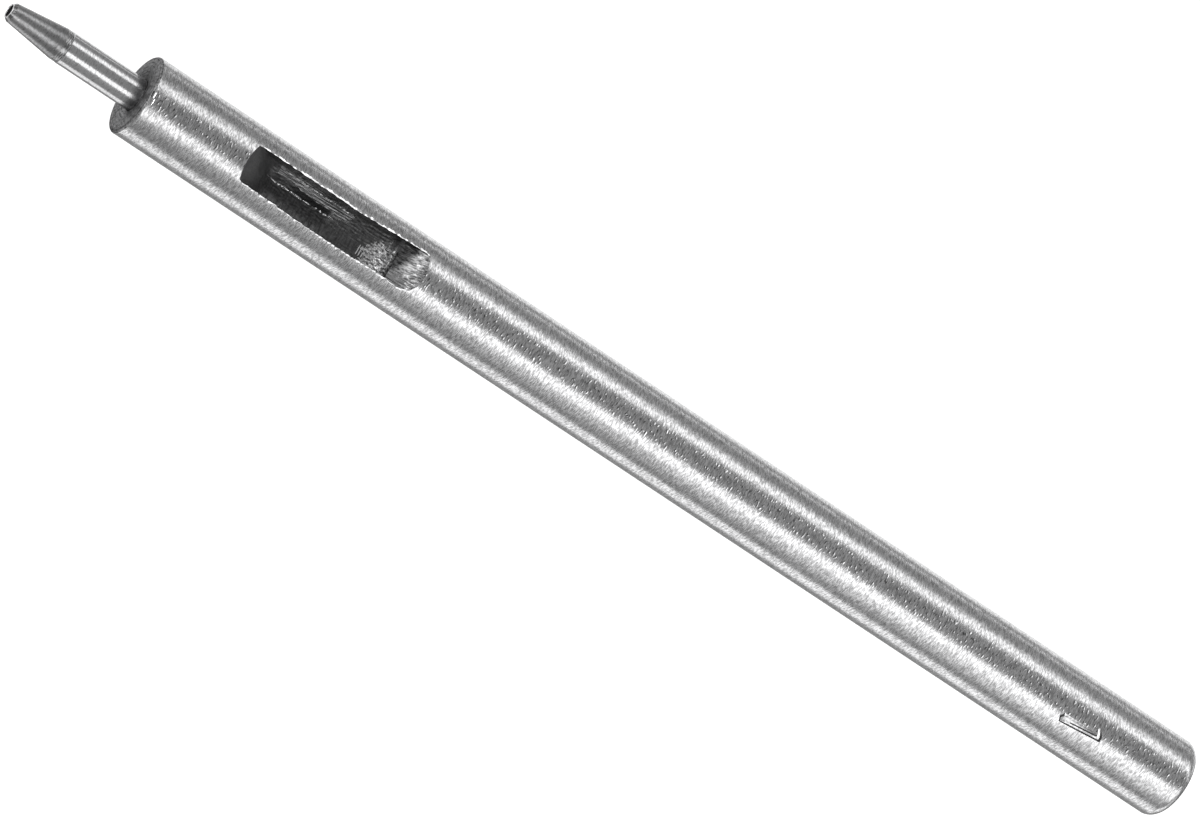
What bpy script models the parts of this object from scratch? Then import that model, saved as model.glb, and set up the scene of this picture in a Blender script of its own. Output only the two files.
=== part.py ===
import math

import bmesh
import bpy
from mathutils import Matrix

# All sizes are in metres. The punch lies along X with its cutting edge towards -X and its
# ejection window facing up. The origin is the centre of the striking face.

# Handle, a turned bar
HANDLE_DIAMETER = 0.0070
HANDLE_LENGTH = 0.1067
STRIKING_ROUND = 0.0014  # radius round the struck end
FRONT_CHAMFER = 0.0002

# Bore of the cutting tube
CUTTING_BORE = 0.0010
CUTTING_BORE_LENGTH = 0.0060  # from the edge back to the wider bore
RELIEF_STEP = 0.0003  # the bore behind is wider by this much all round
RELIEF_TAPER_LENGTH = 0.0004

# Outside of the cutting tube, ahead of the handle's front face
TUBE_WALL = 0.0006  # round the wider bore
TUBE_STRAIGHT = 0.0070
CONE_LENGTH = 0.0053
EDGE_BEVEL_LENGTH = 0.00025  # steeper bevel between the cone and the edge
EDGE_BEVEL_WIDTH = 0.0001
MOUTH_EASE_DEPTH = 0.0003  # the bore flares out to the edge
MOUTH_EASE_WIDTH = 0.0002

# Seat of the tube in the handle
PRESS_CLEARANCE = 0.00003  # radial gap that stands for the drive fit
SEAT_CLEARANCE = 0.00003  # gap between the tube's end and the shoulder
SHOULDER_WALL = 0.0020  # steel between the shoulder and the window
COUNTERSINK_WIDTH = 0.0004
COUNTERSINK_DEPTH = 0.0004

# Slug channel, drilled from the front into the window
CHANNEL_STEP = 0.00015  # the channel is wider than the tube's bore by this much all round
CHANNEL_RUN = 0.0094  # from the window's front end to the drill's shoulder
DRILL_POINT_ANGLE = math.radians(118)

# Ejection window
WINDOW_START = 0.0095  # from the front face
WINDOW_LENGTH = 0.0176
WINDOW_WIDTH = 0.0033
WINDOW_CORNER = 0.0008
CHANNEL_OPENING = 0.00055  # height of the channel's crown that the floor cuts away
FRONT_RAMP_LENGTH = 0.0031
LEDGE_DEPTH = 0.0016  # below the handle's surface
LEDGE_LENGTH = 0.0004
SCALLOP_RADIUS = 0.0027  # both steps at the window's rear end

# Stamped size figure
MARK_HEIGHT = 0.0041
MARK_STROKE = 0.00062
MARK_FLAG_REACH = 0.00085
MARK_FLAG_DROP = 0.0005
MARK_DEPTH = 0.00014
MARK_CENTRE = 0.0111  # from the striking face
MARK_ROLL = math.radians(17)  # round the handle from the window's middle

# Mesh resolution; a flat facet lies straight below the axis
FACETS = 48
ROUND_STEPS = 8
SCALLOP_STEPS = 6
CORNER_STEPS = 4
SMOOTH_ANGLE = math.radians(20)  # sharper edges stay sharp
MERGE_DISTANCE = 0.000001
CUT_OVERRUN = 0.001  # cutters reach this far past the surface

# Sizes that follow from the ones above
HANDLE_RADIUS = HANDLE_DIAMETER / 2
SOCKET_DEPTH = WINDOW_START - SHOULDER_WALL
SHANK_LENGTH = SOCKET_DEPTH - SEAT_CLEARANCE
TUBE_LENGTH = SHANK_LENGTH + TUBE_STRAIGHT + CONE_LENGTH
CUTTING_RADIUS = CUTTING_BORE / 2
RELIEF_RADIUS = CUTTING_RADIUS + RELIEF_STEP
TUBE_RADIUS = RELIEF_RADIUS + TUBE_WALL
EDGE_RADIUS = CUTTING_RADIUS + MOUTH_EASE_WIDTH
CONE_TIP_RADIUS = EDGE_RADIUS + EDGE_BEVEL_WIDTH
CHANNEL_RADIUS = RELIEF_RADIUS + CHANNEL_STEP
FRONT_FACE_X = -HANDLE_LENGTH
WINDOW_FLOOR = CHANNEL_RADIUS - CHANNEL_OPENING  # above the axis
LEDGE_LEVEL = HANDLE_RADIUS - LEDGE_DEPTH


def new_collection(name):
    collection = bpy.data.collections.new(name)
    bpy.context.scene.collection.children.link(collection)
    return collection


def steel(name, colour, roughness):
    material = bpy.data.materials.new(name)
    material.use_nodes = True
    shader = material.node_tree.nodes["Principled BSDF"]
    shader.inputs["Base Color"].default_value = (*colour, 1)
    shader.inputs["Metallic"].default_value = 1
    shader.inputs["Roughness"].default_value = roughness
    return material


def evaluated_mesh(obj):
    graph = bpy.context.evaluated_depsgraph_get()
    return bpy.data.meshes.new_from_object(obj.evaluated_get(graph))


# A turned solid: the half section runs up the bore and down the outside, and a Screw turns it
def turned(name, section, closed, collection):
    phase = math.pi / FACETS
    bm = bmesh.new()
    corners = [
        bm.verts.new((radius * math.cos(phase), radius * math.sin(phase), height))
        for radius, height in section
    ]
    for start, end in zip(corners, corners[1:]):
        bm.edges.new((start, end))
    if closed:
        bm.edges.new((corners[-1], corners[0]))
    profile = bpy.data.meshes.new(name + "_section")
    bm.to_mesh(profile)
    bm.free()

    obj = bpy.data.objects.new(name, profile)
    collection.objects.link(obj)
    screw = obj.modifiers.new("turn", 'SCREW')
    screw.axis = 'Z'
    screw.steps = FACETS
    screw.render_steps = FACETS
    screw.use_merge_vertices = True
    screw.merge_threshold = MERGE_DISTANCE

    solid = evaluated_mesh(obj)
    obj.modifiers.clear()
    obj.data = solid
    bpy.data.meshes.remove(profile)
    solid.name = name
    solid.shade_smooth()
    solid.set_sharp_from_angle(angle=SMOOTH_ANGLE)
    return obj


# A flat outline with thickness, as a closed mesh that can cut
def outline_prism(name, outline, thickness, placement, collection):
    curve = bpy.data.curves.new(name, 'CURVE')
    curve.dimensions = '2D'
    curve.fill_mode = 'BOTH'
    curve.extrude = thickness / 2
    spline = curve.splines.new('POLY')
    spline.points.add(len(outline) - 1)
    for point, (across, up) in zip(spline.points, outline):
        point.co = (across, up, 0, 1)
    spline.use_cyclic_u = True
    drawn = bpy.data.objects.new(name + "_outline", curve)
    collection.objects.link(drawn)

    mesh = evaluated_mesh(drawn)
    bpy.data.objects.remove(drawn)
    bpy.data.curves.remove(curve)
    bm = bmesh.new()
    bm.from_mesh(mesh)
    bmesh.ops.remove_doubles(bm, verts=bm.verts, dist=MERGE_DISTANCE)
    bmesh.ops.recalc_face_normals(bm, faces=bm.faces)
    bm.to_mesh(mesh)
    bm.free()
    mesh.name = name
    mesh.shade_flat()
    cutter = bpy.data.objects.new(name, mesh)
    cutter.matrix_world = placement
    return as_cutter(cutter, collection)


def as_cutter(obj, collection):
    collection.objects.link(obj)
    obj.display_type = 'WIRE'
    obj.hide_render = True
    return obj


def boolean(obj, cutter, operation):
    cut = obj.modifiers.new(cutter.name, 'BOOLEAN')
    cut.operation = operation
    cut.solver = 'EXACT'
    cut.object = cutter


def handle_section():
    channel_end = HANDLE_LENGTH - WINDOW_START - CHANNEL_RUN
    shoulder = HANDLE_LENGTH - SOCKET_DEPTH
    socket_radius = TUBE_RADIUS + PRESS_CLEARANCE
    section = [
        (0, channel_end - CHANNEL_RADIUS / math.tan(DRILL_POINT_ANGLE / 2)),
        (CHANNEL_RADIUS, channel_end),
        (CHANNEL_RADIUS, shoulder),
        (socket_radius, shoulder),
        (socket_radius, HANDLE_LENGTH - COUNTERSINK_DEPTH),
        (socket_radius + COUNTERSINK_WIDTH, HANDLE_LENGTH),
        (HANDLE_RADIUS - FRONT_CHAMFER, HANDLE_LENGTH),
        (HANDLE_RADIUS, HANDLE_LENGTH - FRONT_CHAMFER),
    ]
    for step in range(ROUND_STEPS + 1):
        turn = math.pi / 2 * step / ROUND_STEPS
        radius = HANDLE_RADIUS - STRIKING_ROUND * (1 - math.cos(turn))
        section.append((radius, STRIKING_ROUND * (1 - math.sin(turn))))
    section.append((0, 0))
    return section


def tube_section():
    tip = TUBE_LENGTH
    relief_end = tip - CUTTING_BORE_LENGTH
    return [
        (RELIEF_RADIUS, 0),
        (RELIEF_RADIUS, relief_end - RELIEF_TAPER_LENGTH),
        (CUTTING_RADIUS, relief_end),
        (CUTTING_RADIUS, tip - MOUTH_EASE_DEPTH),
        (EDGE_RADIUS, tip),
        (CONE_TIP_RADIUS, tip - EDGE_BEVEL_LENGTH),
        (TUBE_RADIUS, tip - CONE_LENGTH),
        (TUBE_RADIUS, 0),
    ]


# One concave step of the window's rear end, tangent to the level that it rises from
def scallop(low, high):
    sweep = math.acos(1 - min(1, (high - low) / SCALLOP_RADIUS))
    angles = [sweep * step / SCALLOP_STEPS for step in range(SCALLOP_STEPS + 1)]
    arc = [(SCALLOP_RADIUS * math.sin(a), low + SCALLOP_RADIUS * (1 - math.cos(a))) for a in angles]
    return arc + [(arc[-1][0], high)]


# Side view of the window: front ramp, floor, and two scalloped steps up to the surface
def window_side():
    front = FRONT_FACE_X + WINDOW_START
    rear = front + WINDOW_LENGTH
    top = HANDLE_RADIUS + CUT_OVERRUN
    ramp_per_height = FRONT_RAMP_LENGTH / (HANDLE_RADIUS - WINDOW_FLOOR)
    lower_step = scallop(WINDOW_FLOOR, LEDGE_LEVEL)
    upper_step = scallop(LEDGE_LEVEL, HANDLE_RADIUS)
    upper_start = rear - upper_step[-1][0]
    lower_start = upper_start - LEDGE_LENGTH - lower_step[-1][0]
    outline = [
        (front - CUT_OVERRUN * ramp_per_height, top),
        (front + FRONT_RAMP_LENGTH, WINDOW_FLOOR),
    ]
    outline += [(lower_start + run, level) for run, level in lower_step]
    outline += [(upper_start + run, level) for run, level in upper_step]
    outline.append((rear, top))
    return [point for point, after in zip(outline, outline[1:] + outline[:1]) if point != after]


# Plan view of the window: a rectangle with rounded corners
def window_plan(collection):
    bm = bmesh.new()
    height = HANDLE_DIAMETER + 2 * CUT_OVERRUN
    bmesh.ops.create_cube(bm, size=1)
    bmesh.ops.scale(bm, vec=(WINDOW_LENGTH, WINDOW_WIDTH, height), verts=bm.verts)
    upright = [edge for edge in bm.edges if edge.verts[0].co.xy == edge.verts[1].co.xy]
    bmesh.ops.bevel(
        bm,
        geom=upright,
        offset=WINDOW_CORNER,
        segments=CORNER_STEPS,
        profile=0.5,
        affect='EDGES',
    )
    middle = FRONT_FACE_X + WINDOW_START + WINDOW_LENGTH / 2
    mesh = bpy.data.meshes.new("window_plan")
    bm.to_mesh(mesh)
    bm.free()
    plan = bpy.data.objects.new("window_plan", mesh)
    plan.location = (middle, 0, 0)
    return as_cutter(plan, collection)


def window_cutter(collection):
    upright = Matrix.Rotation(math.pi / 2, 4, 'X')
    width = WINDOW_WIDTH + 2 * CUT_OVERRUN
    window = outline_prism("window", window_side(), width, upright, collection)
    boolean(window, window_plan(collection), 'INTERSECT')
    return window


# The figure 1, read with the striking end up: a stem with a flag at its top left
def mark_outline():
    half_height = MARK_HEIGHT / 2
    half_stroke = MARK_STROKE / 2
    flag_tip = -half_stroke - MARK_FLAG_REACH
    return [
        (half_stroke, -half_height),
        (half_stroke, half_height),
        (-half_stroke, half_height),
        (flag_tip, half_height - MARK_FLAG_DROP),
        (flag_tip, half_height - MARK_FLAG_DROP - half_stroke),
        (-half_stroke, half_height - MARK_STROKE),
        (-half_stroke, -half_height),
    ]


def mark_cutter(collection):
    thickness = MARK_DEPTH + CUT_OVERRUN
    level = HANDLE_RADIUS - MARK_DEPTH + thickness / 2
    placement = (
        Matrix.Rotation(MARK_ROLL, 4, 'X')
        @ Matrix.Translation((-MARK_CENTRE, 0, level))
        @ Matrix.Rotation(-math.pi / 2, 4, 'Z')
    )
    return outline_prism("size_mark", mark_outline(), thickness, placement, collection)


def make_handle(axis, parts, cutters):
    handle = turned("handle", handle_section(), False, parts)
    handle.parent = axis
    handle.data.materials.append(steel("handle_steel", (0.56, 0.56, 0.57), 0.35))
    boolean(handle, window_cutter(cutters), 'DIFFERENCE')
    boolean(handle, mark_cutter(cutters), 'DIFFERENCE')


def make_cutting_tube(axis, parts):
    tube = turned("cutting_tube", tube_section(), True, parts)
    tube.parent = axis
    tube.location = (0, 0, HANDLE_LENGTH - SHANK_LENGTH)
    tube.data.materials.append(steel("tube_steel", (0.62, 0.62, 0.63), 0.2))


def build():
    for obj in list(bpy.data.objects):
        bpy.data.objects.remove(obj)
    parts = new_collection("hollow_punch")
    cutters = new_collection("hollow_punch_cutters")
    axis = bpy.data.objects.new("punch_axis", None)
    axis.rotation_euler = (0, -math.pi / 2, 0)
    parts.objects.link(axis)
    make_handle(axis, parts, cutters)
    make_cutting_tube(axis, parts)


build()
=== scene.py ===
import math

import bmesh
import bpy
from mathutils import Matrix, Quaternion, Vector, noise


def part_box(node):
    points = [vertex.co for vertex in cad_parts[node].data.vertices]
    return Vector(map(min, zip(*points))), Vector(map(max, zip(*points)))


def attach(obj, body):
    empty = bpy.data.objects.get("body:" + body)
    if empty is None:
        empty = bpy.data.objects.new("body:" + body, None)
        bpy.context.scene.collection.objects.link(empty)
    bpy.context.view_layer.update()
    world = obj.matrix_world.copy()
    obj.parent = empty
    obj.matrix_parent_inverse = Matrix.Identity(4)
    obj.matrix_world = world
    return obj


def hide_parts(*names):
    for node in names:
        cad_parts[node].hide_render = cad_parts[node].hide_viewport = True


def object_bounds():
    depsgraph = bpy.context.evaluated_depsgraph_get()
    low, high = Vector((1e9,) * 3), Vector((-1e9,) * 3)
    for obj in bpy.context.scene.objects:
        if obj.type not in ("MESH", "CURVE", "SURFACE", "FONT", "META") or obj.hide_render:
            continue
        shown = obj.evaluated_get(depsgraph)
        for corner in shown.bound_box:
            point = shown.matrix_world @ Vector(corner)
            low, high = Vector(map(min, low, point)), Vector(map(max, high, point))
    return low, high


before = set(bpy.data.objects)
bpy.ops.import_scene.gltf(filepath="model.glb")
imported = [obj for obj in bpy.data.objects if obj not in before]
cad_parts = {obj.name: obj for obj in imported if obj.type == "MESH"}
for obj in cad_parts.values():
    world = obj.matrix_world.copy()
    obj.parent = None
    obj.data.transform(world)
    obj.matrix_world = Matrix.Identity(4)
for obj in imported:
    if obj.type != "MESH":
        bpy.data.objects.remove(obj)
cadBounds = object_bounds()
scene = bpy.context.scene
mm = 0.001
hair = 0.01 * mm  # as good as touching
boxMargin = 0.00001 * mm  # keeps the bar inside the CAD box
print("frame loaded:", ", ".join(sorted(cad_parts)))

# the punch lies along x, tip towards -x, window up
handleLow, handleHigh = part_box("handle")
tubeLow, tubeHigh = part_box("cutting_tube")
barRadius = handleHigh.z - boxMargin
frontX = handleLow.x
rearX = handleHigh.x
tipX = tubeLow.x
tubeEndX = tubeHigh.x
tubeRadius = tubeHigh.z


# camera at the photo's angle, one long lens from above the tip
cameraSet = {
    "place": (-0.35512, -0.11335, 0.75844),
    "aim": (-0.05983, -0.00048, 0.0),
    "roll": math.radians(101.04),  # round the line of sight, from level
    "lens": 309.97,
    "sensor": 36.0,
    "clip": (0.01, 10.0),
}


def addCamera():
    data = bpy.data.cameras.new("photoCamera")
    data.lens = cameraSet["lens"]
    data.sensor_width = cameraSet["sensor"]
    data.clip_start, data.clip_end = cameraSet["clip"]
    place = Vector(cameraSet["place"])
    sight = Vector(cameraSet["aim"]) - place
    camera = bpy.data.objects.new("photoCamera", data)
    camera.location = place
    camera.rotation_mode = "QUATERNION"
    camera.rotation_quaternion = sight.to_track_quat("-Z", "Y") @ Quaternion((0, 0, 1), cameraSet["roll"])
    scene.collection.objects.link(camera)
    scene.camera = camera


addCamera()
print("camera set")


# small helpers for node trees
def addNode(tree, kind, inputs=None, **settings):
    made = tree.nodes.new(kind)
    for name, value in settings.items():
        setattr(made, name, value)
    for name, value in (inputs or {}).items():
        if isinstance(value, bpy.types.NodeSocket):
            tree.links.new(value, made.inputs[name])
        else:
            made.inputs[name].default_value = value
    return made


def calc(tree, operation, *values):
    return addNode(tree, "ShaderNodeMath", dict(enumerate(values)), operation=operation).outputs[0]


def vectorCalc(tree, operation, *values):
    made = addNode(tree, "ShaderNodeVectorMath", dict(enumerate(values)), operation=operation)
    return made.outputs["Vector"]


# a value stretched from one span to another, held at both ends
def spread(tree, value, low, high, toLow=0.0, toHigh=1.0):
    inputs = {"Value": value, "From Min": low, "From Max": high, "To Min": toLow, "To Max": toHigh}
    return addNode(tree, "ShaderNodeMapRange", inputs, clamp=True).outputs["Result"]


def blendColour(tree, share, first, second):
    made = addNode(tree, "ShaderNodeMix", data_type="RGBA")
    for socket, value in ((made.inputs[0], share), (made.inputs[6], first), (made.inputs[7], second)):
        if isinstance(value, bpy.types.NodeSocket):
            tree.links.new(value, socket)
        else:
            socket.default_value = value
    return made.outputs[2]


steelTint = 1.01  # a touch of blue in every grey


def grey(level):
    return (level, level, level * steelTint, 1)


def newGroup(name, inputs, outputs):
    tree = bpy.data.node_groups.new(name, "ShaderNodeTree")
    for label, kind in inputs:
        tree.interface.new_socket(name=label, in_out="INPUT", socket_type="NodeSocket" + kind)
    for label, kind in outputs:
        tree.interface.new_socket(name=label, in_out="OUTPUT", socket_type="NodeSocket" + kind)
    return tree, tree.nodes.new("NodeGroupInput").outputs, tree.nodes.new("NodeGroupOutput").inputs


def useGroup(tree, group, inputs):
    return addNode(tree, "ShaderNodeGroup", inputs, node_tree=group).outputs


# brush marks that run round the bar: fine and short along x, long across it
nickZoom = (0.75, 1.2, 1.2)
markLayers = {
    "Fine": {"zoom": (1, 1, 1), "shift": (0, 0, 0), "detail": 2, "span": (0.36, 0.64), "to": (0, 1)},
    "Sway": {"zoom": (1.2, 1.1, 1.1), "shift": (31, 17, 5), "detail": 2, "span": (0.3, 0.7), "to": (-1, 1)},
    "Nicks": {"zoom": nickZoom, "shift": (3, 9, 4), "detail": 0, "span": (0.62, 0.76), "to": (0, 1)},
    # one spot of painted shade beside each nick, a dark colour standing for its shadow
    "ShadeSpots": {"zoom": nickZoom, "shift": (3.7, 9, 4), "detail": 0, "span": (0.60, 0.74), "to": (0, 1)},
}
markRoughness = 0.6


def makeBrushMarks():
    tree, given, out = newGroup(
        "brushMarks",
        [("Position", "Vector"), ("Along", "Float"), ("Round", "Float"), ("Shift", "Float")],
        [(name, "Float") for name in markLayers],
    )
    stretch = addNode(
        tree, "ShaderNodeCombineXYZ", {0: given["Along"], 1: given["Round"], 2: given["Round"]}
    )
    place = vectorCalc(tree, "MULTIPLY", given["Position"], stretch.outputs[0])
    place = vectorCalc(tree, "ADD", place, given["Shift"])
    for name, layer in markLayers.items():
        inputs = {
            "Vector": vectorCalc(tree, "MULTIPLY_ADD", place, layer["zoom"], layer["shift"]),
            "Scale": 1,
            "Detail": layer["detail"],
            "Roughness": markRoughness,
        }
        level = addNode(tree, "ShaderNodeTexNoise", inputs).outputs[0]
        tree.links.new(spread(tree, level, *layer["span"], *layer["to"]), out[name])
    return tree


# turning marks: rings about the bar's axis, and how far out they are
ringSet = {"wanderScale": 600, "wander": 1.6, "detail": 3, "roughness": 0.7, "span": (0.3, 0.7)}


def makeTurningRings():
    tree, given, out = newGroup(
        "turningRings",
        [("Position", "Vector"), ("Pitch", "Float")],
        [("Rings", "Float"), ("Reach", "Float")],
    )
    flat = vectorCalc(tree, "MULTIPLY", given["Position"], (0, 1, 1))
    length = addNode(tree, "ShaderNodeVectorMath", {0: flat}, operation="LENGTH").outputs["Value"]
    reach = calc(tree, "MULTIPLY", length, given["Pitch"])
    wanderInputs = {"Vector": given["Position"], "Scale": ringSet["wanderScale"], "Detail": 2}
    wander = addNode(tree, "ShaderNodeTexNoise", wanderInputs)
    reach = calc(tree, "ADD", reach, calc(tree, "MULTIPLY", wander.outputs[0], ringSet["wander"]))
    ringInputs = {"W": reach, "Scale": 1, "Detail": ringSet["detail"], "Roughness": ringSet["roughness"]}
    rings = addNode(tree, "ShaderNodeTexNoise", ringInputs, noise_dimensions="1D")
    tree.links.new(spread(tree, rings.outputs[0], *ringSet["span"]), out["Rings"])
    tree.links.new(length, out["Reach"])
    return tree


# leans the normal to either side round the bar, as each brush mark does
def makeSideLean():
    tree, given, out = newGroup(
        "sideLean",
        [("Position", "Vector"), ("Normal", "Vector"), ("Lean", "Float")],
        [("Normal", "Vector")],
    )
    side = vectorCalc(tree, "NORMALIZE", vectorCalc(tree, "CROSS_PRODUCT", (1, 0, 0), given["Position"]))
    push = addNode(tree, "ShaderNodeVectorMath", {0: side, "Scale": given["Lean"]}, operation="SCALE")
    leaned = vectorCalc(tree, "ADD", given["Normal"], push.outputs["Vector"])
    tree.links.new(vectorCalc(tree, "NORMALIZE", leaned), out["Normal"])
    return tree


brushMarks = makeBrushMarks()
turningRings = makeTurningRings()
sideLean = makeSideLean()
print("finish groups made")


def startMaterial(name):
    material = bpy.data.materials.new(name)
    material.use_nodes = True
    tree = material.node_tree
    shader = tree.nodes["Principled BSDF"]
    shader.inputs["Metallic"].default_value = 1
    place = addNode(tree, "ShaderNodeTexCoord").outputs["Object"]
    normal = addNode(tree, "ShaderNodeNewGeometry").outputs["Normal"]
    return material, tree, shader, place, normal


# gloss spreads across the marks, which run round the axis
def spreadAcrossMarks(tree, shader, place, normal, amount):
    shader.inputs["Anisotropic"].default_value = amount
    mark = vectorCalc(tree, "CROSS_PRODUCT", (1, 0, 0), place)
    tree.links.new(vectorCalc(tree, "CROSS_PRODUCT", mark, normal), shader.inputs["Tangent"])


# steel with marks round the axis; one dictionary for each surface
barFinish = {
    "dark": 0.30, "light": 0.70, "smooth": 0.22, "rough": 0.29,
    "along": 9500, "round": 2400, "shift": 0.0,
    "sway": 0.026, "nick": 0.22, "shadeSpot": 0.7, "bump": 0.2, "across": 0.1,
    # nicks lie along the top: up to here, fading by here, share left
    "speckle": (0.14 * barRadius, 0.3 * barRadius, 0.06),
    # painted shade: the bar's colour darker towards its front end
    "dim": (frontX, frontX + 40 * mm, 0.91, 0.02),
}
shankFinish = {
    "dark": 0.45, "light": 0.55, "smooth": 0.17, "rough": 0.23,
    "along": 9000, "round": 2600, "shift": 7.3,
    "sway": 0.02, "nick": 0.03, "shadeSpot": 0.2, "bump": 0.1, "across": 0.1,
    # painted shade: the tube darker towards its root in the front face
    "dim": (frontX - 0.1 * mm, frontX - 0.8 * mm, 0.55, 0),
}
landFinish = {
    "dark": 0.25, "light": 0.34, "smooth": 0.17, "rough": 0.24,
    "along": 9000, "round": 2600, "shift": 5.1,
    "sway": 0.03, "nick": 0.03, "shadeSpot": 0.3, "bump": 0.2, "across": 0.1,
}
coneFinish = {
    "dark": 0.24, "light": 0.36, "smooth": 0.29, "rough": 0.38,
    "along": 12000, "round": 2600, "shift": 3.1,
    "sway": 0.03, "nick": 0.05, "shadeSpot": 0.3, "bump": 0.2, "across": 0.1,
    "dim": (tipX + 4.2 * mm, tipX + 2.2 * mm, 0.82, 0),
}
bevelFinish = {
    "dark": 0.18, "light": 0.26, "smooth": 0.14, "rough": 0.2,
    "along": 12000, "round": 2600, "shift": 1.7,
    "sway": 0.04, "nick": 0.0, "shadeSpot": 0.0, "bump": 0.1, "across": 0.1,
}
markDepth = 0.02 * mm


def markedSteel(name, finish):
    material, tree, shader, place, normal = startMaterial(name)
    markInputs = {
        "Position": place,
        "Along": finish["along"],
        "Round": finish["round"],
        "Shift": finish["shift"],
    }
    marks = useGroup(tree, brushMarks, markInputs)
    colour = blendColour(tree, marks["Fine"], grey(finish["dark"]), grey(finish["light"]))
    run, side, _ = addNode(tree, "ShaderNodeSeparateXYZ", {0: place}).outputs
    nicks = marks["Nicks"]
    # painted shade: a dark spot beside each nick stands for the nick's shadow
    shadeSpots = calc(tree, "MULTIPLY", marks["ShadeSpots"], finish["shadeSpot"])
    if "speckle" in finish:
        start, end, left = finish["speckle"]
        share = spread(tree, calc(tree, "ABSOLUTE", side), start, end, 1, left)
        outward = spread(tree, side, -start / 4, start / 2, 1, -1)  # nicks lean away from the middle
        nicks = calc(tree, "MULTIPLY", calc(tree, "MULTIPLY", nicks, share), outward)
        shadeSpots = calc(tree, "MULTIPLY", shadeSpots, share)
    colour = blendColour(tree, shadeSpots, colour, grey(0))
    roughness = spread(tree, marks["Fine"], 0, 1, finish["rough"], finish["smooth"])
    if "dim" in finish:  # darker and rougher towards one end: from, to, share left, added roughness
        start, end, left, added = finish["dim"]
        colour = blendColour(tree, spread(tree, run, start, end, left, 1), grey(0), colour)
        roughness = calc(tree, "ADD", roughness, spread(tree, run, start, end, added, 0))
    tree.links.new(colour, shader.inputs["Base Color"])
    tree.links.new(roughness, shader.inputs["Roughness"])
    lean = calc(tree, "MULTIPLY", marks["Sway"], finish["sway"])
    lean = calc(tree, "MULTIPLY_ADD", nicks, finish["nick"], lean)
    leaned = useGroup(tree, sideLean, {"Position": place, "Normal": normal, "Lean": lean})
    bumpInputs = {
        "Strength": finish["bump"],
        "Distance": markDepth,
        "Height": marks["Fine"],
        "Normal": leaned["Normal"],
    }
    bump = addNode(tree, "ShaderNodeBump", bumpInputs)
    tree.links.new(bump.outputs[0], shader.inputs["Normal"])
    spreadAcrossMarks(tree, shader, place, normal, finish["across"])
    return material


# faced ends: rings and grain, darker towards the tube as painted shade round its root, and darker at the
# rim
faceFinish = {
    "dark": 0.04, "light": 0.72, "smooth": 0.35, "rough": 0.5,
    "pitch": 3600, "grain": 0.55, "grainScale": 5000, "grainShift": 2.0, "bump": 0.6,
    "dim": (1.7 * mm, 3.2 * mm, 0.55),
    "edge": (3.1 * mm, 3.3 * mm, 0.6),
    "rim": 0.4,
}


def facedSteel():
    material, tree, shader, place, _ = startMaterial("facedSteel")
    turning = useGroup(tree, turningRings, {"Position": place, "Pitch": faceFinish["pitch"]})
    scale = faceFinish["grainScale"]
    grainInputs = {"Position": place, "Along": scale, "Round": scale, "Shift": faceFinish["grainShift"]}
    grain = useGroup(tree, brushMarks, grainInputs)["Fine"]
    rings = calc(tree, "MULTIPLY", turning["Rings"], 1 - faceFinish["grain"])
    rings = calc(tree, "MULTIPLY_ADD", grain, faceFinish["grain"], rings)
    colour = blendColour(tree, rings, grey(faceFinish["dark"]), grey(faceFinish["light"]))
    # painted shade: darker towards the axis, standing for the shade round the tube's root at the front
    start, end, left = faceFinish["dim"]
    share = spread(tree, turning["Reach"], start, end, left, 1)
    start, end, left = faceFinish["edge"]
    share = calc(tree, "MULTIPLY", share, spread(tree, turning["Reach"], start, end, 1, left))
    colour = blendColour(tree, share, grey(0), colour)
    tree.links.new(colour, shader.inputs["Base Color"])
    roughness = spread(tree, rings, 0, 1, faceFinish["rough"], faceFinish["smooth"])
    tree.links.new(roughness, shader.inputs["Roughness"])
    shader.inputs["Specular Tint"].default_value = grey(faceFinish["rim"])
    bumpInputs = {"Strength": faceFinish["bump"], "Distance": markDepth, "Height": rings}
    bump = addNode(tree, "ShaderNodeBump", bumpInputs)
    tree.links.new(bump.outputs[0], shader.inputs["Normal"])
    return material


# drilled and milled steel in the window, each cut with its own marks
milledFinish = {
    "dark": 0.09, "light": 0.15, "smooth": 0.35, "rough": 0.55,
    "along": 5000, "round": 1500, "turn": 0, "bump": 0.25,
}
rampFinish = {
    "dark": 0.15, "light": 0.22, "smooth": 0.4, "rough": 0.6,
    "along": 900, "round": 1500, "turn": 0, "bump": 0.25,
    "dim": (frontX + 12.7 * mm, frontX + 10.8 * mm, 0.55, 0),
}
ledgeFinish = {
    "dark": 0.11, "light": 0.34, "smooth": 0.3, "rough": 0.5,
    "along": 420, "round": 9000, "turn": -2, "bump": 0.8,
}
scallopFinish = {
    "dark": 0.08, "light": 0.7, "smooth": 0.34, "rough": 0.5,
    "along": 4200, "round": 6500, "turn": 20, "bump": 0.7,
    # painted shade: the patch darker towards the run-out, in the band between the two cuts
    "dim": (frontX + 24.75 * mm, frontX + 24.1 * mm, 0.14, 0),
}
runoutFinish = {
    "dark": 0.12, "light": 0.78, "smooth": 0.38, "rough": 0.55,
    "along": 1900, "round": 7500, "turn": -9, "bump": 0.7,
    # painted shade: the run-out darker at its front, reaching further back on its upper side, under the
    # upper wall
    "dim": (frontX + 25.2 * mm, frontX + 25.9 * mm, 0.18, 0.4),
}
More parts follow.
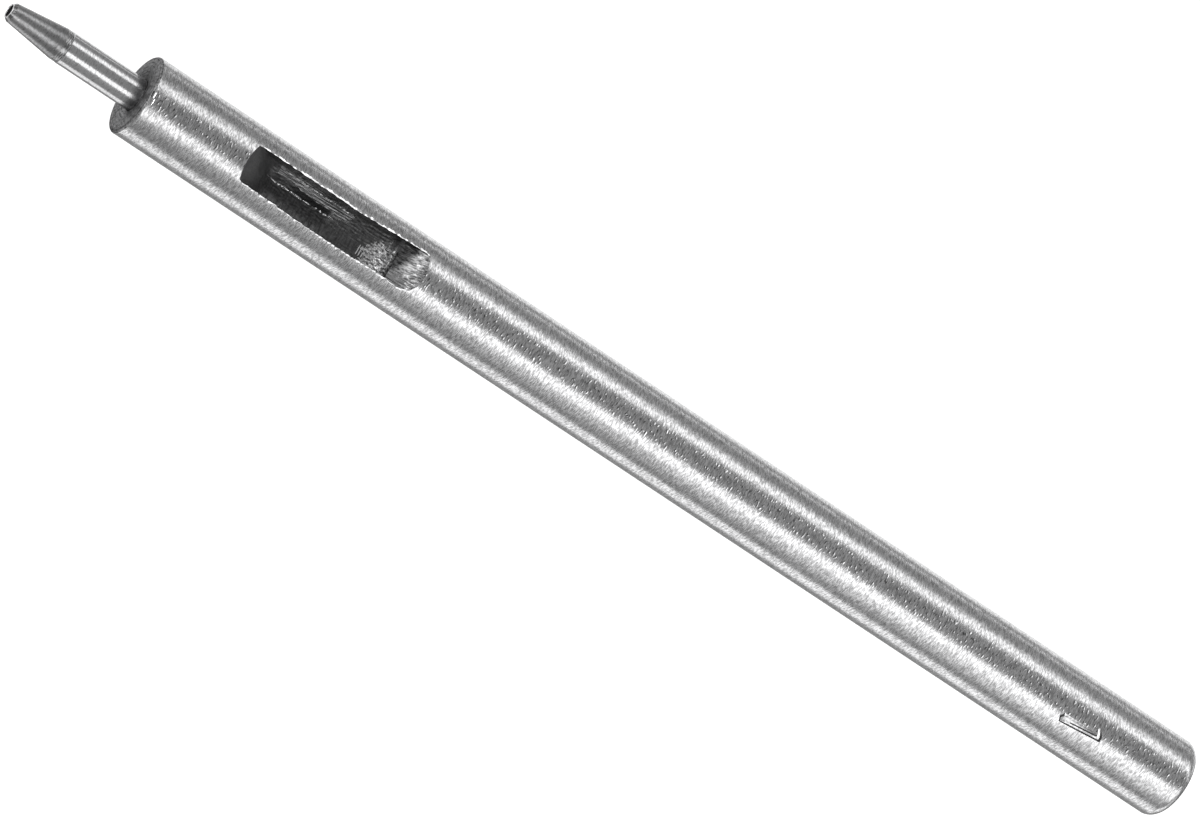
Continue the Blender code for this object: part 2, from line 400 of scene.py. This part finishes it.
# bright bare metal for edges, ridges, tool lines, dents, the tube's lip and the figure's shelf; its light
# colour is partly a painted highlight
burrAndHighlightFinish = {
    "dark": 0.6, "light": 0.9, "smooth": 0.2, "rough": 0.35,
    "along": 4000, "round": 900, "turn": 0, "bump": 0.3,
}
stampFinish = {
    "dark": 0.3, "light": 0.85, "smooth": 0.25, "rough": 0.4,
    "along": 3500, "round": 2500, "turn": 0, "bump": 0.8,
}
# near-black: painted shade for the figure's groove and steep walls and for one dent's slit
paintedShadeFinish = {
    "dark": 0.03, "light": 0.08, "smooth": 0.5, "rough": 0.7,
    "along": 3000, "round": 3000, "turn": 0, "bump": 0.3,
}
cutSet = {"wallStretch": (1, 1, 0.15), "shift": 5.0, "depth": 0.03 * mm}  # marks run down the walls


def cutSteel(name, finish):
    material, tree, shader, place, _ = startMaterial(name)
    turnInputs = {
        "Vector": vectorCalc(tree, "MULTIPLY", place, cutSet["wallStretch"]),
        "Angle": math.radians(finish["turn"]),
    }
    spot = addNode(tree, "ShaderNodeVectorRotate", turnInputs, rotation_type="Z_AXIS").outputs[0]
    markInputs = {
        "Position": spot,
        "Along": finish["along"],
        "Round": finish["round"],
        "Shift": cutSet["shift"],
    }
    marks = useGroup(tree, brushMarks, markInputs)
    colour = blendColour(tree, marks["Fine"], grey(finish["dark"]), grey(finish["light"]))
    if "dim" in finish:  # darker towards one end: from, to, share left, and how far y counts
        start, end, left, lean = finish["dim"]
        run, side, _ = addNode(tree, "ShaderNodeSeparateXYZ", {0: place}).outputs
        run = calc(tree, "MULTIPLY_ADD", side, -lean, run)
        colour = blendColour(tree, spread(tree, run, start, end, left, 1), grey(0), colour)
    tree.links.new(colour, shader.inputs["Base Color"])
    roughness = spread(tree, marks["Fine"], 0, 1, finish["rough"], finish["smooth"])
    tree.links.new(roughness, shader.inputs["Roughness"])
    bumpInputs = {"Strength": finish["bump"], "Distance": cutSet["depth"], "Height": marks["Fine"]}
    bump = addNode(tree, "ShaderNodeBump", bumpInputs)
    tree.links.new(bump.outputs[0], shader.inputs["Normal"])
    return material


barSteel = markedSteel("barSteel", barFinish)
shankSteel = markedSteel("shankSteel", shankFinish)
coneSteel = markedSteel("coneSteel", coneFinish)
landSteel = markedSteel("landSteel", landFinish)
bevelSteel = markedSteel("bevelSteel", bevelFinish)
endSteel = facedSteel()
milledSteel = cutSteel("milledSteel", milledFinish)
rampSteel = cutSteel("rampSteel", rampFinish)
ledgeSteel = cutSteel("ledgeSteel", ledgeFinish)
scallopSteel = cutSteel("scallopSteel", scallopFinish)
runoutSteel = cutSteel("runoutSteel", runoutFinish)
burrAndHighlightSteel = cutSteel("burrAndHighlightSteel", burrAndHighlightFinish)
stampSteel = cutSteel("stampSteel", stampFinish)
paintedShadeSteel = cutSteel("paintedShadeSteel", paintedShadeFinish)
print("materials made")


mergeGap = 0.0001 * mm


# a profile of (x, radius) points, turned about the punch's axis
def turned(points, steps):
    bm = bmesh.new()
    verts = [bm.verts.new((x, 0, radius)) for x, radius in points]
    edges = [bm.edges.new(pair) for pair in zip(verts, verts[1:])]
    bmesh.ops.spin(bm, geom=verts + edges, axis=(1, 0, 0), cent=(0, 0, 0), angle=math.tau, steps=steps,
                   use_merge=True)
    bmesh.ops.remove_doubles(bm, verts=bm.verts, dist=mergeGap)
    bmesh.ops.recalc_face_normals(bm, faces=bm.faces)
    return bm


def arc(centre, radius, start, end, steps):
    turns = [start + (end - start) * step / steps for step in range(steps + 1)]
    return [(centre[0] + radius * math.cos(t), centre[1] + radius * math.sin(t)) for t in turns]


def asPiece(name, bm, materials):
    mesh = bpy.data.meshes.new(name)
    bm.to_mesh(mesh)
    bm.free()
    for material in materials:
        mesh.materials.append(material)
    piece = bpy.data.objects.new(name, mesh)
    scene.collection.objects.link(piece)
    return piece


# takes a cutter out of a piece for good, with the cutter's own materials on the cut
def cutAway(piece, cutter):
    cut = piece.modifiers.new("cut", "BOOLEAN")
    cut.operation = "DIFFERENCE"
    cut.solver = "EXACT"
    cut.material_mode = "TRANSFER"
    cut.object = cutter
    graph = bpy.context.evaluated_depsgraph_get()
    mesh = bpy.data.meshes.new_from_object(piece.evaluated_get(graph))
    piece.modifiers.clear()
    old = piece.data
    piece.data = mesh
    mesh.name = piece.name
    bpy.data.meshes.remove(old)
    used = cutter.data
    bpy.data.objects.remove(cutter)
    bpy.data.meshes.remove(used)


# handle bar
bar = {
    "steps": 240,
    "ring": 4 * mm,  # between rings along the bar
    "strikingRound": 1.05 * mm,
    "frontRound": 0.26 * mm,
    "roundSteps": 20,
    "dullRim": 0.66,  # the striking round is dull where it faces back further than this
    "dullEdge": 0.3,  # and the front round where it faces forward further than this
    "endFacing": 0.98,  # a face square to the axis
    "hollow": 25 * mm,  # from the front face, past the socket and channel
    "socketGap": 0.03 * mm,
    "countersink": (0.4 * mm, 0.15 * mm),  # wide, deep
    "socketDepth": 7.5 * mm,
    "channelRadius": 0.95 * mm,
    "channelEnd": 12.1 * mm,  # from the front face to where the window takes over
    "drillPoint": math.radians(59),
}


def barProfile():
    socketRadius = tubeRadius + bar["socketGap"]
    wide, deep = bar["countersink"]
    channelEnd = frontX + bar["channelEnd"]
    points = [
        (channelEnd + bar["channelRadius"] / math.tan(bar["drillPoint"]), 0),
        (channelEnd, bar["channelRadius"]),
        (frontX + bar["socketDepth"], bar["channelRadius"]),
        (frontX + bar["socketDepth"], socketRadius),
        (frontX + deep, socketRadius),
        (frontX, socketRadius + wide),
    ]
    edge = bar["frontRound"]
    points += arc((frontX + edge, barRadius - edge), edge, math.pi, math.pi / 2, bar["roundSteps"] // 2)
    rear = bar["strikingRound"]
    rings = int((rearX - frontX - edge - rear) / bar["ring"])
    for ring in range(1, rings):
        points.append((frontX + edge + ring * (rearX - frontX - edge - rear) / rings, barRadius))
    points += arc((rearX - rear, barRadius - rear), rear, math.pi / 2, 0, bar["roundSteps"])
    points.append((rearX, 0))
    return points


# ejection window, cut down past the middle so that the channel opens into it; its own sizes are in mm
window = {
    "start": frontX + 9.5 * mm,
    "length": 17.6,
    "floor": 0.4,  # above the axis
    "ramp": 3.1,
    "ease": 0.7,
    "ledgeDepth": 1.6,
    "ledge": 0.15,
    "runout": 15.3,
    "scallop": 2.7,
    "corners": (0.8, 1.35),  # radius of three of them, and of the lower one at the rear
    "upper": (  # share of the length, half width
        (0.0, 1.66), (0.45, 1.64), (0.58, 1.58), (0.7, 1.66), (0.85, 1.78), (1.0, 1.86),
    ),
    "lower": (
        (0.0, 1.60), (0.22, 1.64), (0.34, 1.73), (0.66, 1.74), (0.8, 1.66), (0.92, 1.72), (1.0, 1.68),
    ),
    "floorNoise": (0.025, 2.2, 7),  # size, pitch along and across
    "trough": (2.6, 9.8),  # from and to along the window
    "troughEnds": (1.5, 0.9),  # runs over which it deepens and rises again
    "troughUpper": (
        (2.4, 0.9), (3.2, 0.92), (4.9, 1.10), (6.3, 0.84), (8.0, 0.74), (9.4, 0.80), (9.9, 0.6),
    ),
    "troughWaver": (0.05, 3.1),  # size, pitch
    "troughRun": 1.7,  # from the axis to where it has risen again
    "troughDepth": 0.5,
    "ridge": (3.0, 9.7, 0.34, 0.08),  # from, to, across, height
    "cornerLine": (4.1, 10.6, 1.48, 0.05),
    "ridgeWaver": (0.05, 1.3),
    "ridgeBreaks": (0.5, 1.6, 4.6),  # middle, size, pitch
    "lineWidth": 0.05,  # of ridges and tool lines
    "toolLines": (12.75, 13.0, 13.25),
    "toolHeight": 0.06,
    "toolWaver": (0.06, 2.1),
    "toolFade": (-0.05, 0.3),  # from here down, over this far
    "toolBreaks": (0.6, 3),
    "lineShare": 0.35,  # a line has its own finish where it is higher than this share
    "rampEnd": 0.2,  # past the ramp
    "mottle": ((0.5, 1.7, 3), (0.6, 7, 5)),  # wander of the finishes' borders: size, pitch, seed
    "floorFinishEnd": 11.0,
    "ledgeSpot": (3.7, 0.5),  # the ledge's finish starts here, along and across
    "runoutShade": (1.5, -0.75),  # darker lower corner of the run-out: its length, upper side
    "patch": (13.2, 0.4, -0.2, 0.85),  # scalloped patch: start, lean, where the lean starts, upper side
    "columns": 240,
    "rows": 72,
    "ragged": 0.05,
    "raggedPitch": 1.9,
    "raggedFine": (0.5, 2.7),  # a finer wave on top: share, times the pitch
    "burr": 0.105,  # height of the bright edge
    "burrBreaks": (0.7, 1.5, 3.2),  # middle, size, pitch
    "burrRise": 0.42,
    "burrReach": 0.32,
    "leastWall": 0.004,
    "over": 0.6,
    "overSpan": 1.6,  # both ends together, in overs
}


def along(points, share):
    for (start, low), (end, high) in zip(points, points[1:]):
        if share <= end:
            ease = max(0, share - start) / (end - start)
            ease = ease * ease * (3 - 2 * ease)
            return low + (high - low) * ease
    return points[-1][1]


def rough(x, y, seed=0.0):
    return noise.noise(Vector((x, y, seed)))


# half the window's width on one side, with ragged edges and round corners
def halfWidth(x, side):
    length = window["length"]
    wide = along(window["upper" if side > 0 else "lower"], min(1, max(0, x / length)))
    pitch = window["raggedPitch"]
    share, finer = window["raggedFine"]
    wide += window["ragged"] * (rough(x * pitch, side * 7) + share * rough(x * pitch * finer, side * 19))
    corner = window["corners"][0 if side > 0 or x < length / 2 else 1]
    gap = max(0, min(x, length - x))
    if gap < corner:
        wide -= corner - math.sqrt(corner**2 - (corner - gap) ** 2)
    return wide


# two round-ended cuts, one behind the other
def scallopLevel(x):
    top = barRadius / mm
    floor = window["floor"]
    ledge = top - window["ledgeDepth"]
    radius = window["scallop"]
    upperRun = math.sqrt(radius**2 - (radius - top + ledge) ** 2)
    lowerRun = math.sqrt(radius**2 - (radius - ledge + floor) ** 2)
    upperStart = window["length"] - upperRun
    lowerStart = upperStart - window["ledge"] - lowerRun
    if x > upperStart:
        run = min(x - upperStart, radius)
        return ledge + radius - math.sqrt(radius**2 - run**2)
    run = min(max(0, x - lowerStart), lowerRun)
    return floor + radius - math.sqrt(radius**2 - run**2)


# share of the way into the trough: a steep side above its deepest line, a long gentle one below
def troughShare(x, y):
    start, end = window["trough"]
    if not start < x < end:
        return 0
    waver, pitch = window["troughWaver"]
    high = along(window["troughUpper"], x) + waver * rough(x * pitch, 4)
    line = window["ridge"][2]
    if y > line:
        across = max(0, high - y) / (high - line)
    else:
        across = max(0, 1 - (line - y) / (line + window["troughRun"]))
    sink, rise = window["troughEnds"]
    return across * along(((0, 0), (sink, 1)), x - start) * along(((0, 0), (rise, 1)), end - x)


# broken ridge left between two cuts
def ridgeShare(x, y, line):
    start, end, across, _ = line
    if not start < x < end:
        return 0
    middle, size, pitch = window["ridgeBreaks"]
    broken = max(0, min(1, middle + size * rough(x * pitch, across * 9)))
    waver, pitch = window["ridgeWaver"]
    return broken * math.exp(-(((y - across - waver * rough(x * pitch, 2)) / window["lineWidth"]) ** 2))


# short lines across the floor where the tool dug in
def toolShare(x, y):
    waver, pitch = window["toolWaver"]
    nearest = min(abs(x - line - waver * rough(y * pitch, line)) for line in window["toolLines"])
    top, run = window["toolFade"]
    fade = max(0, min(1, (top - y) / run))
    middle, pitch = window["toolBreaks"]
    return fade * math.exp(-((nearest / window["lineWidth"]) ** 2)) * max(0, middle + rough(y * pitch, 8))


def floorLevel(x, y):
    top = barRadius / mm
    floor = window["floor"]
    slope = (top - floor) / window["ramp"]
    ramp = top - x * slope
    scallop = scallopLevel(x)
    level = (ramp + scallop + math.sqrt((ramp - scallop) ** 2 + window["ease"] ** 2)) / 2
    if x > window["ramp"]:
        size, pitchAlong, pitchAcross = window["floorNoise"]
        level += size * rough(x * pitchAlong, y * pitchAcross)
    level -= window["troughDepth"] * troughShare(x, y)
    for line in (window["ridge"], window["cornerLine"]):
        level += line[3] * ridgeShare(x, y, line)
    return level + window["toolHeight"] * toolShare(x, y)


# which of the window's finishes a spot has
def floorFinish(x, y):
    share = window["lineShare"]
    # the corner line's light finish is a painted highlight along the floor's upper corner
    if ridgeShare(x, y, window["cornerLine"]) > share:
        return scallopSteel
    # ridges and tool lines: bright bare metal, partly a painted highlight
    if ridgeShare(x, y, window["ridge"]) > share or toolShare(x, y) > share:
        return burrAndHighlightSteel
    if troughShare(x, y) > 0:
        return milledSteel
    mottle = sum(size * rough(x * pitch, y * pitch, seed) for size, pitch, seed in window["mottle"])
    if x < window["ramp"] + window["rampEnd"]:
        return rampSteel
    if x < window["floorFinishEnd"] + mottle:
        ledgeX, ledgeY = window["ledgeSpot"]
        return ledgeSteel if y > ledgeY and x > ledgeX else milledSteel
    if x > window["runout"]:
        reach, upper = window["runoutShade"]
        shaded = x < window["runout"] + reach + mottle and y < upper + mottle
        return ledgeSteel if shaded else runoutSteel
    # the patch keeps off the upper side, where the darker milled finish stands as painted shade under the
    # upper wall
    start, lean, leanFrom, upper = window["patch"]
    if start + lean * max(0, y - leanFrom) + mottle < x and y < upper + mottle / 2:
        return scallopSteel
    return milledSteel


def windowCutter():
    finishes = [milledSteel, burrAndHighlightSteel, rampSteel, ledgeSteel, scallopSteel, runoutSteel]
    over = window["over"]
    top = barRadius / mm + over
    bm = bmesh.new()
    bmesh.ops.create_grid(bm, x_segments=window["columns"], y_segments=window["rows"], size=1)
    for vert in bm.verts:  # x along the window, y across it, both in mm for now
        x = -over + (window["length"] + window["overSpan"] * over) * (vert.co.x + 1) / 2
        y = vert.co.y * halfWidth(x, 1 if vert.co.y > 0 else -1)
        vert.co = (x, y, min(floorLevel(x, y), top - over / 2))
    for face in bm.faces:
        centre = face.calc_center_median()
        face.material_index = finishes.index(floorFinish(centre.x, centre.y))

    # walls, a bright broken edge at their top, bare metal partly painted as a highlight, then straight up
    def raiseWalls(move, material):
        rim = [edge for edge in bm.edges if edge.is_boundary]
        grown = bmesh.ops.extrude_edge_only(bm, edges=rim)["geom"]
        for part in grown:
            if isinstance(part, bmesh.types.BMVert):
                part.co = move(part.co.x, part.co.y, part.co.z)
            elif isinstance(part, bmesh.types.BMFace):
                part.material_index = material

    def toBurr(x, y, z):
        edge = math.sqrt(max(0, (barRadius / mm) ** 2 - y**2))
        middle, size, pitch = window["burrBreaks"]
        deep = window["burr"] * (middle + size * rough(x * pitch, y))
        return x, y, max(z + window["leastWall"], edge - deep)

    def pastBurr(x, y, z):
        out = window["burrReach"]
        return x, y + math.copysign(out, y), z + out * window["burrRise"]

    raiseWalls(toBurr, 0)
    for face in bm.faces:  # the run-out's own wall is as bright as its floor
        if face.calc_center_median().x > window["runout"] and face.material_index == 0:
            face.material_index = finishes.index(runoutSteel)
    raiseWalls(pastBurr, 1)
    raiseWalls(lambda x, y, z: (x, y, top), 0)
    bmesh.ops.holes_fill(bm, edges=[edge for edge in bm.edges if edge.is_boundary], sides=0)
    bmesh.ops.triangulate(bm, faces=bm.faces)
    bmesh.ops.recalc_face_normals(bm, faces=bm.faces)
    bmesh.ops.scale(bm, verts=bm.verts, vec=(mm, mm, mm))
    bmesh.ops.translate(bm, verts=bm.verts, vec=(window["start"], 0, 0))
    return asPiece("windowCutter", bm, finishes)


# the size figure, a plain 1 with its foot towards the tip
figure = {
    "centre": rearX - 11.1 * mm,
    "roll": math.radians(17),  # from straight up towards -y
    "outline": (  # mm, along the bar and across it
        (-2.0, -0.52), (2.05, -0.10), (2.05, 0.30), (1.55, 1.06),
        (1.14, 0.90), (1.42, 0.42), (-1.95, 0.40), (-2.2, 0.02),
    ),
    "shelf": (
        (-1.84, -0.38), (1.88, 0.0), (1.86, 0.28), (1.48, 0.94),
        (1.24, 0.84), (1.54, 0.24), (-1.76, 0.1), (-1.96, -0.12),
    ),
    "groove": (
        (-0.9, -0.16), (1.66, 0.11), (1.66, 0.24), (1.38, 0.78),
        (1.26, 0.74), (1.52, 0.24), (-0.85, -0.04), (-0.95, -0.1),
    ),
    "gentle": (0.75, 0.3),  # a wall that lies flatter than this and faces along the bar less than this
    "bright": -0.7 * mm,  # the shelf is duller towards the foot
    "shelfDepth": 0.13 * mm,
    "depth": 0.22 * mm,
    "over": 0.3 * mm,
}


def figureCutter():
    bm = bmesh.new()
    top = barRadius + figure["over"]
    face = bm.faces.new([bm.verts.new((a * mm, b * mm, top)) for a, b in figure["outline"]])
    if face.normal.z > 0:
        face.normal_flip()
    grown = bmesh.ops.extrude_face_region(bm, geom=[face])["geom"]
    bmesh.ops.translate(bm, verts=[v for v in grown if isinstance(v, bmesh.types.BMVert)],
                        vec=(0, 0, -figure["over"]))
    base = [f for f in grown if isinstance(f, bmesh.types.BMFace)]

    # the lowest face again, deeper and with another outline
    def sinkTo(base, upper, lower, depth):
        grown = bmesh.ops.extrude_face_region(bm, geom=base)["geom"]
        for vert in [v for v in grown if isinstance(v, bmesh.types.BMVert)]:
            gaps = [abs(vert.co.x - a * mm) + abs(vert.co.y - b * mm) for a, b in upper]
            a, b = lower[gaps.index(min(gaps))]
            vert.co = (a * mm, b * mm, barRadius - depth)
        bmesh.ops.delete(bm, geom=[f for f in base if f.is_valid], context="FACES_ONLY")
        return [f for f in grown if isinstance(f, bmesh.types.BMFace)]

    base = sinkTo(base, figure["outline"], figure["shelf"], figure["shelfDepth"])
    base = sinkTo(base, figure["shelf"], figure["groove"], figure["depth"])
    bmesh.ops.triangulate(bm, faces=bm.faces)
    bmesh.ops.recalc_face_normals(bm, faces=bm.faces)
    for face in bm.faces:  # light shelf, dark groove, the gentle wall above them, then the steep walls; the groove and the steep walls are near-black as painted shade, the gentle wall keeps the lighter stamp finish
        highest = max(v.co.z for v in face.verts)
        if highest < barRadius - figure["depth"] + hair:
            face.material_index = 2
        elif highest < barRadius - figure["shelfDepth"] + hair:
            face.material_index = 0 if face.calc_center_median().x > figure["bright"] else 1
        else:
            flat, facing = figure["gentle"]
            gentle = face.normal.z < -flat and face.normal.y > 0 and abs(face.normal.x) < facing
            face.material_index = 1 if gentle else 2
    bmesh.ops.translate(bm, verts=bm.verts, vec=(figure["centre"], 0, 0))
    turn = Quaternion((1, 0, 0), figure["roll"]).to_matrix()
    bmesh.ops.rotate(bm, verts=bm.verts, cent=(0, 0, 0), matrix=turn)
    return asPiece("figureCutter", bm, [burrAndHighlightSteel, stampSteel, paintedShadeSteel])


# small dents in the front edge: from the front face, how far round, finish
dents = {
    "size": (0.13 * mm, 0.5 * mm, 0.13 * mm),
    "turn": math.radians(45),  # on edge
    "spots": (
        # the first dent's near-black is a painted shadow in its slit; the others' bright faces are bare
        # metal, partly a painted highlight
        (0.11 * mm, math.radians(4.8), paintedShadeSteel),
        (0.25 * mm, math.radians(4.3), burrAndHighlightSteel),
        (0.4 * mm, math.radians(-4.2), burrAndHighlightSteel),
    ),
}


def dentCutter(run, side, finish):
    bm = bmesh.new()
    bmesh.ops.create_cube(bm, size=1)
    bmesh.ops.scale(bm, verts=bm.verts, vec=dents["size"])
    onEdge = Quaternion((0, 1, 0), dents["turn"]).to_matrix()
    bmesh.ops.rotate(bm, verts=bm.verts, cent=(0, 0, 0), matrix=onEdge)
    edge = bar["frontRound"]
    drop = edge - math.sqrt(edge**2 - max(0, edge - run) ** 2)  # the round's fall at this spot
    bmesh.ops.translate(bm, verts=bm.verts, vec=(frontX + run, 0, barRadius - drop))
    turn = Quaternion((1, 0, 0), -side).to_matrix()
    bmesh.ops.rotate(bm, verts=bm.verts, cent=(0, 0, 0), matrix=turn)
    return asPiece("dentCutter", bm, [finish])


# round surfaces keep the bar's own normals after the cuts
normalSet = {"sharp": math.radians(28), "aligned": 0.999, "within": 0.002 * mm}


def trueNormals(mesh, radius):
    mesh.shade_smooth()
    mesh.set_sharp_from_angle(angle=normalSet["sharp"])
    normals = [corner.vector.copy() for corner in mesh.corner_normals]
    for face in mesh.polygons:
        outward = Vector((0, face.center.y, face.center.z)).normalized()
        if face.normal.dot(outward) < normalSet["aligned"]:
            continue
        for loop in face.loop_indices:
            spot = mesh.vertices[mesh.loops[loop].vertex_index].co
            if Vector((0, spot.y, spot.z)).length > radius - normalSet["within"]:
                normals[loop] = Vector((0, spot.y, spot.z)).normalized()
    mesh.normals_split_custom_set(normals)


def makeHandle():
    bm = turned(barProfile(), bar["steps"])
    for face in bm.faces:
        centre = face.calc_center_median()
        radius = Vector((0, centre.y, centre.z)).length
        ends = abs(face.normal.x) > bar["endFacing"]
        if ends and (centre.x < frontX + hair or centre.x > rearX - hair):
            face.material_index = 1
        elif face.normal.x > bar["dullRim"] and centre.x > rearX - bar["strikingRound"]:
            face.material_index = 1
        elif face.normal.x < -bar["dullEdge"] and centre.x < frontX + bar["frontRound"]:
            face.material_index = 1
        elif radius < barRadius - bar["strikingRound"] and centre.x < frontX + bar["hollow"]:
            face.material_index = 1 if centre.x < frontX + bar["countersink"][1] else 2
    piece = asPiece("handleBar", bm, [barSteel, endSteel, milledSteel])
    cutAway(piece, windowCutter())
    cutAway(piece, figureCutter())
    for spot in dents["spots"]:
        cutAway(piece, dentCutter(*spot))
    trueNormals(piece.data, barRadius)
    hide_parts("handle")
    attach(piece, "root")
    print("handle made:", len(piece.data.polygons), "faces")


makeHandle()


# cutting tube
tube = {
    "steps": 160,
    "cone": 4.85 * mm,
    "land": 0.5 * mm,  # narrow ringed band behind the cone
    "landStep": 0.02 * mm,
    "rings": 2,
    "ringDepth": 0.03 * mm,
    "groove": (0.04 * mm, 0.07 * mm),  # deep, wide
    "coneTip": 0.83 * mm,
    "lip": 0.065 * mm,  # round from the bore to the bevel
    "lipTurn": (1.5 * math.pi, 0.55 * math.pi),
    "lipSteps": 10,
    "sharp": math.radians(5),
    "edgeBevel": 0.3 * mm,
    "bore": 0.52 * mm,
    "boreLength": 6.0 * mm,
    "relief": 0.8 * mm,
    "reliefTaper": 0.4 * mm,
}


def makeTube():
    coneX = tipX + tube["cone"]
    landX = coneX + tube["land"]
    landRadius = tubeRadius - tube["landStep"]
    boreX = tipX + tube["boreLength"]
    lip = tube["lip"]
    points = [
        (tubeEndX, tube["relief"]),
        (boreX + tube["reliefTaper"], tube["relief"]),
        (boreX, tube["bore"]),
    ]
    points += arc((tipX + lip, tube["bore"] + lip), lip, *tube["lipTurn"], tube["lipSteps"])
    points += [(tipX + tube["edgeBevel"], tube["coneTip"]), (coneX, landRadius)]
    pitch = tube["land"] / (tube["rings"] + 1)
    for ring in range(tube["rings"]):
        points.append((coneX + (ring + 0.5) * pitch, landRadius - tube["ringDepth"]))
        points.append((coneX + (ring + 1) * pitch, landRadius))
    deep, wide = tube["groove"]
    points += [
        (landX - wide, landRadius - deep),
        (landX, landRadius - deep),
        (landX + deep, tubeRadius),
        (tubeEndX, tubeRadius),
        (tubeEndX, tube["relief"]),
    ]
    bm = turned(points, tube["steps"])
    for face in bm.faces:
        centre = face.calc_center_median()
        inward = face.normal.y * centre.y + face.normal.z * centre.z < 0
        if inward and centre.x > tipX + lip:
            face.material_index = 2
        elif landX - wide < centre.x < landX:
            face.material_index = 3
        # the lip: bright bare metal, partly a painted highlight
        elif centre.x < tipX + lip:
            face.material_index = 5
        elif centre.x < tipX + tube["edgeBevel"]:
            face.material_index = 4
        elif centre.x < coneX:
            face.material_index = 1
        elif centre.x < landX:
            face.material_index = 6
    finishes = [shankSteel, coneSteel, milledSteel, ledgeSteel, bevelSteel, burrAndHighlightSteel, landSteel]
    piece = asPiece("cuttingTube", bm, finishes)
    piece.data.shade_smooth()
    piece.data.set_sharp_from_angle(angle=tube["sharp"])
    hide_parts("cutting_tube")
    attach(piece, "root")
    print("tube made:", len(piece.data.polygons), "faces")


makeTube()


# pale floor under the punch
floorSet = {"size": 6.0, "tone": 0.55, "glow": 0.78, "rough": 0.9, "gloss": 0.1}


def addFloor():
    bm = bmesh.new()
    bmesh.ops.create_grid(bm, x_segments=1, y_segments=1, size=floorSet["size"])
    bmesh.ops.translate(bm, verts=bm.verts, vec=(0, 0, cadBounds[0][2]))
    material = bpy.data.materials.new("paleFloor")
    material.use_nodes = True
    shader = material.node_tree.nodes["Principled BSDF"]
    tone = floorSet["tone"]
    shader.inputs["Base Color"].default_value = (tone, tone, tone, 1)
    shader.inputs["Roughness"].default_value = floorSet["rough"]
    shader.inputs["Specular IOR Level"].default_value = floorSet["gloss"]
    shader.inputs["Emission Color"].default_value = (1, 1, 1, 1)
    shader.inputs["Emission Strength"].default_value = floorSet["glow"]
    floor = asPiece("floor", bm, [material])
    floor.visible_glossy = False  # the steel mirrors the studio, not the floor
    floor.visible_shadow = False


# long softboxes beside and below the punch, given by their angle from straight up towards +y
lights = {
    "softboxRight": {"angle": 48.0, "wide": 0.25, "radiance": 1.58},
    "fillRight": {"angle": 62.5, "wide": 0.11, "radiance": 0.55},
    "stripRight": {"angle": 104.5, "wide": 0.08, "radiance": 0.95},
    "lowRight": {"angle": 147.0, "wide": 0.53, "radiance": 0.9},
    "softboxLeft": {"angle": -33.0, "wide": 0.32, "radiance": 1.78},
    "fillLeft": {"angle": -56.0, "wide": 0.24, "radiance": 0.66, "from": 0.205},
    "lowLeft": {"angle": -119.5, "wide": 0.40, "radiance": 1.2},
    "rearLeft": {"angle": -64.0, "wide": 0.46, "radiance": 0.48, "from": 0.2},
}
lightSet = {"distance": 0.7, "long": 3.9, "middle": 0.6, "world": 0.36, "backdrop": 0.95}
tipBox = {"place": (-0.78, 0.10, 0.24), "wide": 0.2, "radiance": 9.0}  # beyond the tip, for its lip


def addBox(name, size, radiance, place, turn):
    data = bpy.data.lights.new(name, "AREA")
    data.shape = "RECTANGLE"
    data.size, data.size_y = size
    data.energy = radiance * math.pi * size[0] * size[1]
    light = bpy.data.objects.new(name, data)
    light.location = place
    light.rotation_euler = turn
    light.visible_camera = False
    scene.collection.objects.link(light)


def addLights():
    reach = lightSet["distance"]
    for name, box in lights.items():
        turn = math.radians(box["angle"])
        end = lightSet["middle"] + lightSet["long"] / 2
        start = box.get("from", end - lightSet["long"])
        place = ((start + end) / 2, reach * math.sin(turn), reach * math.cos(turn))
        addBox(name, (end - start, box["wide"]), box["radiance"], place, (-turn, 0, 0))
    sight = Vector((tipX, 0, 0)) - Vector(tipBox["place"])
    addBox("tipBox", (tipBox["wide"], tipBox["wide"]), tipBox["radiance"], tipBox["place"],
           sight.to_track_quat("-Z", "Y").to_euler())
    world = bpy.data.worlds.new("studio")
    world.use_nodes = True
    tree = world.node_tree
    seen = addNode(tree, "ShaderNodeLightPath").outputs["Is Camera Ray"]
    strength = spread(tree, seen, 0, 1, lightSet["world"], lightSet["backdrop"])
    tree.links.new(strength, tree.nodes["Background"].inputs["Strength"])
    tree.nodes["Background"].inputs["Color"].default_value = (1, 1, 1, 1)
    scene.world = world
    scene.view_settings.view_transform = "Standard"


addFloor()
addLights()
print("floor and lights set")
